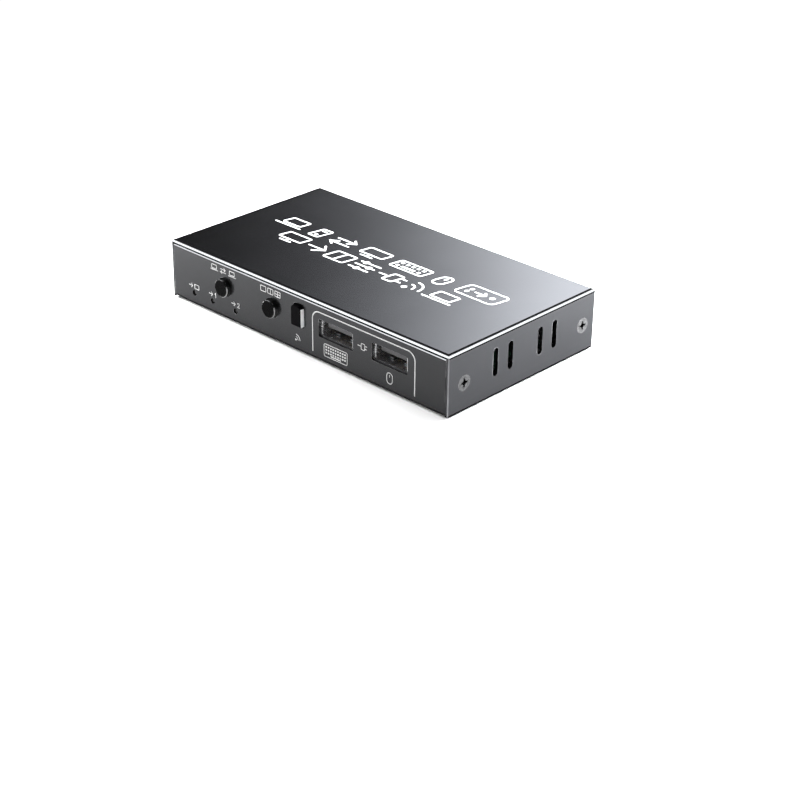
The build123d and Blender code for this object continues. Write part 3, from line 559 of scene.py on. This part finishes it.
def stroke(points, width, closed=False):
    """A line of that width as (points, faces), round-ended where it is open."""
    left = offset_line(points, width / 2.0, closed)
    right = offset_line(points, -width / 2.0, closed)
    count = len(points)
    if closed:
        after = [(i + 1) % count for i in range(count)]
        return left + right, [(i, count + i, count + after[i], after[i]) for i in range(count)]
    last = points[-1] - points[-2]
    first = points[0] - points[1]
    outline = list(right)
    for centre, along in ((points[-1], last), (points[0], first)):
        heading = Vector((1.0, 0.0)).angle_signed(along)
        turn = -heading * 180.0 / pi
        outline += arc_points(centre, width / 2.0, turn - 90.0, turn + 90.0, CAP_STEPS)[1:-1]
        outline += list(reversed(left)) if centre is points[-1] else []
    return outline, [tuple(range(len(outline)))]


class Pen:
    """Draws symbols side by side, each in units of its own height."""

    def __init__(self, shapes, left, bottom, height, weight, slant=0.0):
        self.shapes = shapes
        self.left = left
        self.bottom = bottom
        self.height = height
        self.weight = weight
        self.slant = slant

    def at(self, point):
        across = self.left + self.height * (point[0] + self.slant * point[1])
        return Vector((across, self.bottom + self.height * point[1]))

    def line(self, points, closed=False):
        self.shapes.append(stroke([self.at(point) for point in points], self.weight, closed))

    def fill(self, points):
        self.shapes.append(([self.at(point) for point in points], [tuple(range(len(points)))]))

    def box(self, u0, v0, u1, v1, radius):
        self.line(rounded_box(u0, v0, u1, v1, radius), closed=True)

    def bar(self, u0, v0, u1, v1):
        self.fill(((u0, v0), (u1, v0), (u1, v1), (u0, v1)))

    def dot(self, u, v, radius):
        self.fill(arc_points(Vector((u, v)), radius, 0.0, 360.0, DOT_STEPS)[:-1])

    def arc(self, u, v, radius, start, end):
        self.line(arc_points(Vector((u, v)), radius, start, end, CURVE_STEPS))


def draw_screen(pen):
    pen.box(0.06, 0.30, 1.44, 0.96, 0.08)
    pen.line(((0.75, 0.30), (0.75, 0.08)))
    pen.line(((0.42, 0.06), (1.08, 0.06)))


def draw_pane(pen):
    pen.box(0.06, 0.06, 1.24, 0.94, 0.1)


def draw_two_panes(pen):
    draw_pane(pen)
    pen.line(((0.65, 0.10), (0.65, 0.90)))


def draw_four_panes(pen):
    draw_two_panes(pen)
    pen.line(((0.10, 0.50), (1.20, 0.50)))


def draw_keyboard(pen):
    pen.box(0.06, 0.14, 1.94, 0.90, 0.1)
    for key in range(5):
        pen.bar(0.24 + 0.32 * key, 0.60, 0.40 + 0.32 * key, 0.74)
    pen.bar(0.24, 0.30, 0.40, 0.44)
    pen.bar(0.56, 0.30, 1.36, 0.44)
    pen.bar(1.52, 0.30, 1.68, 0.44)


def draw_mouse(pen):
    pen.box(0.07, 0.06, 0.65, 0.96, 0.28)
    pen.line(((0.36, 0.62), (0.36, 0.78)))


def draw_swap(pen):
    pen.line(((0.08, 0.70), (1.18, 0.70)))
    pen.line(((0.88, 0.94), (1.20, 0.70), (0.88, 0.46)))
    pen.line(((0.12, 0.24), (1.22, 0.24)))
    pen.line(((0.40, 0.46), (0.08, 0.24), (0.40, 0.02)))


def draw_arrow(pen):
    pen.line(((0.08, 0.50), (1.06, 0.50)))
    pen.line(((0.70, 0.88), (1.10, 0.50), (0.70, 0.12)))


def draw_laptop(pen):
    pen.box(0.30, 0.32, 1.40, 0.94, 0.08)
    pen.line(((0.06, 0.12), (1.64, 0.12)))


def draw_tower(pen):
    pen.box(0.06, 0.06, 0.64, 0.94, 0.07)
    pen.line(((0.22, 0.74), (0.48, 0.74)))
    pen.dot(0.35, 0.26, 0.09)


def draw_waves(pen):
    pen.dot(0.14, 0.16, 0.13)
    pen.arc(0.14, 0.16, 0.42, 5.0, 85.0)
    pen.arc(0.14, 0.16, 0.76, 5.0, 85.0)


def draw_plug(pen):
    pen.line(((0.06, 0.50), (0.56, 0.50)))
    pen.box(0.58, 0.12, 1.14, 0.88, 0.1)
    pen.line(((1.20, 0.68), (1.46, 0.68)))
    pen.line(((1.20, 0.32), (1.46, 0.32)))


def draw_sliders(pen):
    for height, knob in ((0.86, 0.35), (0.50, 0.90), (0.14, 0.55)):
        pen.line(((0.08, height), (1.22, height)))
        pen.dot(knob, height, 0.15)


def draw_one(pen):
    pen.line(((0.10, 0.74), (0.32, 0.94), (0.32, 0.06)))


def draw_two(pen):
    hook = arc_points(Vector((0.34, 0.66)), 0.26, 165.0, -30.0, 2 * CURVE_STEPS)
    pen.line((*hook, Vector((0.08, 0.06)), Vector((0.62, 0.06))))


def draw_dots(pen):
    pen.dot(0.18, 0.76, 0.18)
    pen.dot(0.18, 0.24, 0.18)


def draw_big_dot(pen):
    pen.dot(0.22, 0.50, 0.22)


def draw_power(pen):
    pen.dot(1.0, 0.50, 0.16)
    pen.arc(1.0, 0.50, 0.42, 40.0, 320.0)
    pen.line(((0.06, 0.50), (0.52, 0.50)))
    pen.line(((1.10, 0.50), (1.94, 0.50)))


# Width of each symbol in units of its height
WIDTHS = {
    draw_screen: 1.50, draw_pane: 1.30, draw_two_panes: 1.30, draw_four_panes: 1.30,
    draw_keyboard: 2.00, draw_mouse: 0.72, draw_swap: 1.30, draw_arrow: 1.20, draw_laptop: 1.70,
    draw_tower: 0.70, draw_waves: 0.95, draw_plug: 1.52, draw_sliders: 1.30, draw_one: 0.42,
    draw_two: 0.70, draw_dots: 0.36, draw_big_dot: 0.44, draw_power: 2.00,
}

# Symbols of the top print
UPPER_SYMBOLS = (draw_laptop, draw_tower, draw_swap, draw_screen, draw_keyboard, draw_mouse)
LOWER_SYMBOLS = (
    draw_screen, draw_arrow, draw_two_panes, draw_sliders, draw_plug, draw_waves, draw_laptop,
)
BADGE_SYMBOLS = (draw_dots, draw_arrow, draw_big_dot)

# What a front label stands by and its symbols. In millimetres: how far its middle is to the right
# of that piece's, its foot, the symbols' height and the gap between them
FRONT_LABELS = (
    ("switch_button_cap", (draw_laptop, draw_swap, draw_laptop), -0.4, 15.6, 2.1, 1.0),
    ("mode_button_cap", (draw_pane, draw_two_panes, draw_four_panes), -0.35, 15.6, 2.0, 0.6),
    ("ir_window", (draw_waves,), -0.4, 3.8, 2.4, 0.0),
)

# What a rear label stands by and its symbols
REAR_LABELS = (
    ("video_out_shell", (draw_arrow, draw_screen)),
    ("video_in_1_shell", (draw_laptop, draw_one)),
    ("video_in_2_shell", (draw_laptop, draw_two)),
    ("host_port_1_shell", (draw_plug, draw_one)),
    ("host_port_2_shell", (draw_plug, draw_two)),
)


def draw_row(shapes, symbols, left, right, bottom, height, weight, slant=0.0):
    """Draws the symbols from left to right with equal gaps between them."""
    used = sum(WIDTHS[symbol] for symbol in symbols) * height
    gap = (right - left - used) / max(1, len(symbols) - 1)
    for symbol in symbols:
        symbol(Pen(shapes, left, bottom, height, weight, slant))
        left += WIDTHS[symbol] * height + gap


def draw_label(shapes, symbols, middle, bottom, height, weight, gap=0.0):
    """Draws the symbols in a row about the middle."""
    half = (sum(WIDTHS[symbol] for symbol in symbols) * height + gap * (len(symbols) - 1)) / 2.0
    draw_row(shapes, symbols, middle - half, middle + half, bottom, height, weight)


def print_shapes(name, shapes, place, ink):
    """A thin raised print of those shapes, on the face that place maps to."""
    mesh = bpy.data.meshes.new(name)
    drawn = bmesh.new()
    for index, (points, faces) in enumerate(shapes):
        base = [drawn.verts.new(place(point, -INK_SINK)) for point in points]
        made = [drawn.faces.new([base[corner] for corner in face]) for face in faces]
        raised = bmesh.ops.extrude_face_region(drawn, geom=made)["geom"]
        raise_to = INK_RAISE + INK_STEP * (index % INK_STEPS)
        lift = place(Vector((0.0, 0.0)), raise_to) - place(Vector((0.0, 0.0)), -INK_SINK)
        moved = [item for item in raised if isinstance(item, bmesh.types.BMVert)]
        bmesh.ops.translate(drawn, verts=moved, vec=lift)
    bmesh.ops.recalc_face_normals(drawn, faces=drawn.faces)
    drawn.to_mesh(mesh)
    drawn.free()
    piece = bpy.data.objects.new(name, mesh)
    bpy.context.scene.collection.objects.link(piece)
    mesh.materials.append(ink)
    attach(piece, BODY)
    return piece


def middle_mm(node):
    """The middle of a CAD node's box, in millimetres."""
    low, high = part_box(node)
    return (low + high) / 2.0 / MM


def parts_along_x(node, gap):
    """The x of each separate solid of a node, in millimetres, from left to right."""
    across = sorted(vertex.co.x / MM for vertex in frame["nodes"][node].data.vertices)
    groups = [[across[0]]]
    for x in across[1:]:
        if x - groups[-1][-1] > gap:
            groups.append([])
        groups[-1].append(x)
    return [(group[0] + group[-1]) / 2.0 for group in groups]


def print_top(ink):
    """Two slanted rows of symbols and a badge: two inputs to one output."""
    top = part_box("cover")[1].z

    def on_top(point, height):
        return Vector((point.x * MM, point.y * MM, top + height))

    shapes = []
    for symbols, row in ((UPPER_SYMBOLS, UPPER_ROW), (LOWER_SYMBOLS, LOWER_ROW)):
        draw_row(shapes, symbols, **row, height=TOP_HEIGHT, weight=TOP_WEIGHT, slant=TOP_SLANT)
    Pen(shapes, **BADGE, slant=TOP_SLANT).box(*BADGE_OUTLINE)
    draw_row(shapes, BADGE_SYMBOLS, **BADGE_ROW, slant=TOP_SLANT)
    print_shapes("top_symbols", shapes, on_top, ink)


def on_panel(side):
    """Maps a print to the front panel, side -1, or to the rear panel, side 1, as seen from outside."""
    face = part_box("chassis")[1].y

    def place(point, height):
        return Vector((-side * point.x * MM, side * (face + height), point.y * MM))

    return place


def print_port_frame(ink):
    """The line round the two front sockets, open at the bottom."""
    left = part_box("keyboard_port_shell")[0].x / MM - FRAME_LEFT_GAP
    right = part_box("mouse_port_shell")[1].x / MM + FRAME_RIGHT_GAP
    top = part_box("keyboard_port_shell")[1].z / MM + FRAME_TOP_GAP
    points = [Vector((left, FRAME_FOOT))]
    for across, start in ((left + FRAME_BEND, 180.0), (right - FRAME_BEND, 90.0)):
        centre = Vector((across, top - FRAME_BEND))
        points += arc_points(centre, FRAME_BEND, start, start - 90.0, 2 * CURVE_STEPS)
    points += [Vector((right, FRAME_FOOT))]
    print_shapes("port_frame_line", [stroke(points, FRAME_WEIGHT)], on_panel(-1), ink)


def label_lenses(shapes):
    """An arrow and a screen, a 1 or a 2 above each status light."""
    out_x, first_x, second_x = parts_along_x("status_led_lenses", LENS_GAP)
    lenses = ((draw_pane, out_x + OUT_LENS_SHIFT), (draw_one, first_x), (draw_two, second_x))
    for symbol, middle in lenses:
        draw_label(shapes, (draw_arrow, symbol), middle, **LENS_LABEL, weight=FRONT_WEIGHT)


def label_ports(shapes):
    """A plug between the two front sockets, a mouse under one and a keyboard under the other."""
    keyboard_x = middle_mm("keyboard_port_shell").x
    mouse_x = middle_mm("mouse_port_shell").x
    between = (keyboard_x + mouse_x) / 2.0 + PLUG_SHIFT
    draw_label(shapes, (draw_plug,), between, **PLUG_LABEL, weight=FRONT_WEIGHT)
    draw_label(shapes, (draw_mouse,), mouse_x + MOUSE_SHIFT, **MOUSE_LABEL, weight=FRONT_WEIGHT)
    draw_key_grid(shapes, keyboard_x - GRID_WIDTH / 2.0)


def print_front(ink):
    """Symbols by the buttons, lights, window and sockets of the front panel."""
    shapes = []
    for node, symbols, shift, bottom, height, gap in FRONT_LABELS:
        middle = middle_mm(node).x + shift
        draw_label(shapes, symbols, middle, bottom, height, FRONT_WEIGHT, gap)
    label_lenses(shapes)
    label_ports(shapes)
    print_shapes("front_symbols", shapes, on_panel(-1), ink)


def draw_key_grid(shapes, left):
    """A small keyboard: an outline, rows of keys and a space bar."""
    pen = Pen(shapes, left, GRID_BOTTOM, 1.0, FRONT_WEIGHT)
    pen.box(0.0, 0.0, GRID_WIDTH, GRID_HEIGHT, GRID_CORNER)
    pitch = (GRID_WIDTH - 2.0 * GRID_MARGIN) / GRID_KEYS
    key = pitch * KEY_SHARE
    for row in range(GRID_ROWS):
        low = GRID_HEIGHT - TOP_ROW_DROP - ROW_PITCH * row
        for column in range(GRID_KEYS):
            start = GRID_MARGIN + (pitch - key) / 2.0 + pitch * column
            pen.bar(start, low, start + key, low + KEY_HEIGHT)
    bar_left, bar_low, bar_right, bar_high = SPACE_BAR
    pen.bar(GRID_WIDTH * bar_left, bar_low, GRID_WIDTH * bar_right, bar_high)


def print_rear(ink):
    """Symbols above the rear sockets and under the power jack."""
    shapes = []
    for node, symbols in REAR_LABELS:
        draw_label(shapes, symbols, -middle_mm(node).x, **REAR_LABEL, weight=REAR_WEIGHT)
    jack_x = -middle_mm("dc_jack_body").x
    draw_label(shapes, (draw_power,), jack_x, **JACK_LABEL, weight=REAR_WEIGHT)
    print_shapes("rear_symbols", shapes, on_panel(1), ink)


# ---------------------------------------------------------------------- studio


def direction(azimuth, elevation):
    """The unit vector towards that azimuth, 0 in front and 90 on the right, and elevation."""
    flat = cos(radians(elevation))
    return Vector((sin(radians(azimuth)) * flat, -cos(radians(azimuth)) * flat, sin(radians(elevation))))


def build_camera():
    """The camera of the photograph."""
    back = direction(CAMERA_AZIMUTH, CAMERA_ELEVATION)
    level = direction(CAMERA_AZIMUTH + 90.0, 0.0)
    upright = back.cross(level)
    roll = radians(CAMERA_ROLL)
    right = cos(roll) * level + sin(roll) * upright
    up = cos(roll) * upright - sin(roll) * level
    data = bpy.data.cameras.new("camera")
    data.lens = CAMERA_LENS_MM
    data.sensor_width = CAMERA_SENSOR_MM
    data.clip_start = CAMERA_NEAR
    data.clip_end = CAMERA_FAR
    camera = bpy.data.objects.new("camera", data)
    turn = Matrix((right, up, back)).transposed().to_4x4()
    camera.matrix_world = Matrix.Translation(CAMERA_PLACE) @ turn
    bpy.context.scene.collection.objects.link(camera)
    bpy.context.scene.camera = camera


def build_light(name, azimuth, elevation, distance, width, height, radiance, colour):
    """A soft rectangular light on the matt faces, which neither the camera nor a reflection shows."""
    data = bpy.data.lights.new(name, "AREA")
    data.shape = "RECTANGLE"
    data.size = width
    data.size_y = height
    data.energy = radiance * pi * width * height
    data.color = colour
    light = bpy.data.objects.new(name, data)
    light.location = direction(azimuth, elevation) * distance
    light.rotation_euler = direction(azimuth, elevation).to_track_quat("Z", "Y").to_euler()
    light.visible_camera = False
    light.visible_glossy = False
    bpy.context.scene.collection.objects.link(light)


def build_sky():
    """White to look at, even light on matt faces, and soft glows for the glossy ones to reflect."""
    world = bpy.data.worlds.new("studio")
    world.use_nodes = True
    bpy.context.scene.world = world
    tree = world.node_tree
    tree.nodes.clear()
    towards = add(tree, "TexCoord").outputs["Generated"]
    level = REFLECTED_LEVEL
    for azimuth, elevation, inner, outer, falloff, radiance in GLOWS:
        aim = {0: towards, 1: direction(azimuth, elevation)}
        near = add(tree, "VectorMath", aim, operation="DOT_PRODUCT").outputs["Value"]
        away = combined(tree, "ARCCOSINE", near, 0.0)
        glow = ranged(tree, away, radians(outer), radians(inner), 0.0, 1.0)
        glow = combined(tree, "MULTIPLY", combined(tree, "POWER", glow, falloff), radiance)
        level = combined(tree, "ADD", level, glow)
    ambient = add(tree, "Background", {"Color": WHITE, "Strength": AMBIENT_LEVEL})
    reflected = add(tree, "Background", {"Color": COOL_WHITE, "Strength": level})
    seen = add(tree, "Background", {"Color": WHITE, "Strength": 1.0})
    ray = add(tree, "LightPath")
    lit = {0: ray.outputs["Is Glossy Ray"], 1: ambient.outputs[0], 2: reflected.outputs[0]}
    light = add(tree, "MixShader", lit)
    both = {0: ray.outputs["Is Camera Ray"], 1: light.outputs[0], 2: seen.outputs[0]}
    add(tree, "OutputWorld", {"Surface": add(tree, "MixShader", both).outputs[0]})


def build_floor():
    """A plain pale floor."""
    drawn = bmesh.new()
    corners = ((-1, -1), (1, -1), (1, 1), (-1, 1))
    drawn.faces.new([drawn.verts.new((x * FLOOR_HALF, y * FLOOR_HALF, 0.0)) for x, y in corners])
    mesh = bpy.data.meshes.new("floor")
    drawn.to_mesh(mesh)
    drawn.free()
    floor = bpy.data.objects.new("floor", mesh)
    bpy.context.scene.collection.objects.link(floor)
    shade = (FLOOR_SHADE, FLOOR_SHADE, FLOOR_SHADE)
    mesh.materials.append(surface("floor_card", shade, rough=(0.7, 0.8), tone=0.01, cloud=0.2,
                                  grain=0.001, bump=0.00001))


def build_studio():
    """Camera, lights, background and floor."""
    bpy.context.scene.view_settings.view_transform = "Standard"
    build_camera()
    for light in SOFT_LIGHTS:
        build_light(*light)
    build_sky()
    build_floor()


def ink_material(name, shade):
    """Matt printing ink."""
    return surface(name, (shade, shade, shade), rough=(0.45, 0.6), tone=0.04, cloud=0.002,
                   grain=0.0001, bump=0.000003)


def face_material(name, **more):
    """The material of that name in FACE_FINISHES."""
    return surface(name, **FACE_FINISHES[name], **more)


def finish_faces():
    """The bevels, edges and walls that differ from the rest of their node."""
    cover_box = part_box("cover")
    # The bare bevel carries a thin black line of painted shade along its upper edge
    bright = face_material("bare_bevel", rim=(*cover_box, BEVEL_SHADE_LINE, 0.0))
    polish_bevels("cover", cover_box[1].z - COVER_BEVEL_LOW, bright)
    panel_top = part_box("chassis")[1].z
    polish_bevels("chassis", panel_top - PANEL_BEVEL_LOW, face_material("panel_bevel"))
    # Painted shadow under the chassis
    paint_underside_shadow("chassis", face_material("underside_painted_shadow"))
    bare_corners("cover", face_material("sheared_edge"))
    # Painted highlight on the window's sides
    paint_side_highlight("ir_window", face_material("window_painted_highlight"))
    wall = face_material("button_wall")
    for name in ("switch_button_cap", "mode_button_cap"):
        gloss_walls(name, wall)


def build_prints():
    """The prints on the top and on both panels."""
    print_top(ink_material("white_ink", TOP_INK))
    panel_ink = ink_material("grey_white_ink", PANEL_INK)
    print_port_frame(panel_ink)
    print_front(panel_ink)
    print_rear(panel_ink)


def build_looks():
    """Materials of the CAD nodes and of their single faces, and the prints."""
    dress_nodes(build_materials())
    finish_faces()
    build_prints()


build_studio()
build_looks()
